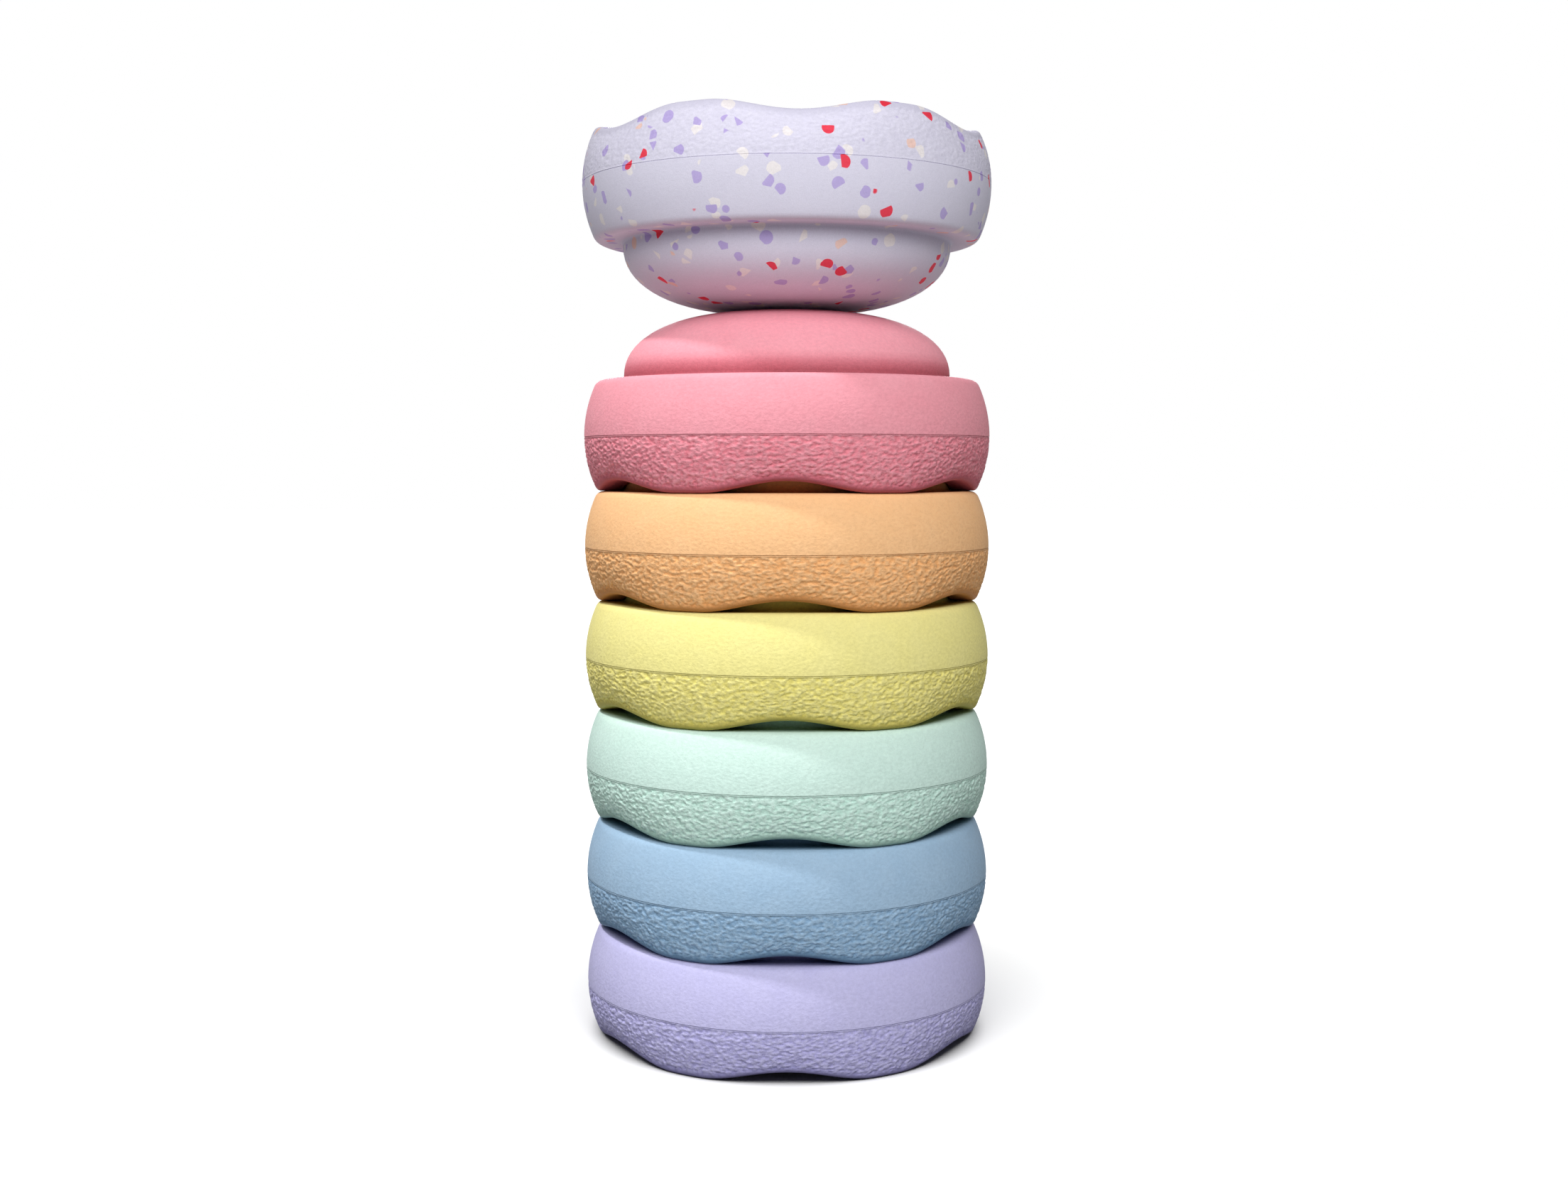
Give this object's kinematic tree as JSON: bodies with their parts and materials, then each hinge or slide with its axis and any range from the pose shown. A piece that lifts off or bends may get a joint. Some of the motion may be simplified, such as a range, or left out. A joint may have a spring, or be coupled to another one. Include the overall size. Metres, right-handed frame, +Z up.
{
  "type": "stacking stone set",
  "caption": "Tower of hollow hat-shaped foam stones with wavy rims, nested dome into hollow, and a speckled one balanced upside down on the top dome; each lifts off for stepping or sitting on.",
  "frame": {"origin": "on the floor, under the middle of the tower", "axes": "+Z up along the tower's axis; -Y towards the viewer, through a scoop of every rim"},
  "size_m": [0.275, 0.275, 0.6118],
  "materials": {
    "lilac_foam": "moulded particle foam, satin above the seam and coarsely textured below it",
    "blue_foam": "moulded particle foam, satin above the seam and coarsely textured below it",
    "mint_foam": "moulded particle foam, satin above the seam and coarsely textured below it",
    "yellow_foam": "moulded particle foam, satin above the seam and coarsely textured below it",
    "apricot_foam": "moulded particle foam, satin above the seam and coarsely textured below it",
    "rose_foam": "moulded particle foam, satin above the seam and coarsely textured below it",
    "confetti_foam": "moulded particle foam, satin above the seam and coarsely textured below it, pale with coloured flecks"
  },
  "bodies": {
    "lilac": {"stone_1_lilac": "lilac_foam"},
    "blue": {"stone_2_blue": "blue_foam"},
    "mint": {"stone_3_mint": "mint_foam"},
    "yellow": {"stone_4_yellow": "yellow_foam"},
    "apricot": {"stone_5_apricot": "apricot_foam"},
    "rose": {"stone_6_rose": "rose_foam"},
    "confetti": {"stone_7_confetti": "confetti_foam"}
  },
  "joints": [
    {"name": "blue_lift", "type": "slide", "parent": "lilac", "child": "blue", "axis": [0, 0, 1], "range_m": [0, 0.12]},
    {"name": "mint_lift", "type": "slide", "parent": "blue", "child": "mint", "axis": [0, 0, 1], "range_m": [0, 0.12]},
    {"name": "yellow_lift", "type": "slide", "parent": "mint", "child": "yellow", "axis": [0, 0, 1], "range_m": [0, 0.12]},
    {"name": "apricot_lift", "type": "slide", "parent": "yellow", "child": "apricot", "axis": [0, 0, 1], "range_m": [0, 0.12]},
    {"name": "rose_lift", "type": "slide", "parent": "apricot", "child": "rose", "axis": [0, 0, 1], "range_m": [0, 0.12]},
    {"name": "confetti_lift", "type": "slide", "parent": "rose", "child": "confetti", "axis": [0, 0, 1], "range_m": [0, 0.12]}
  ]
}
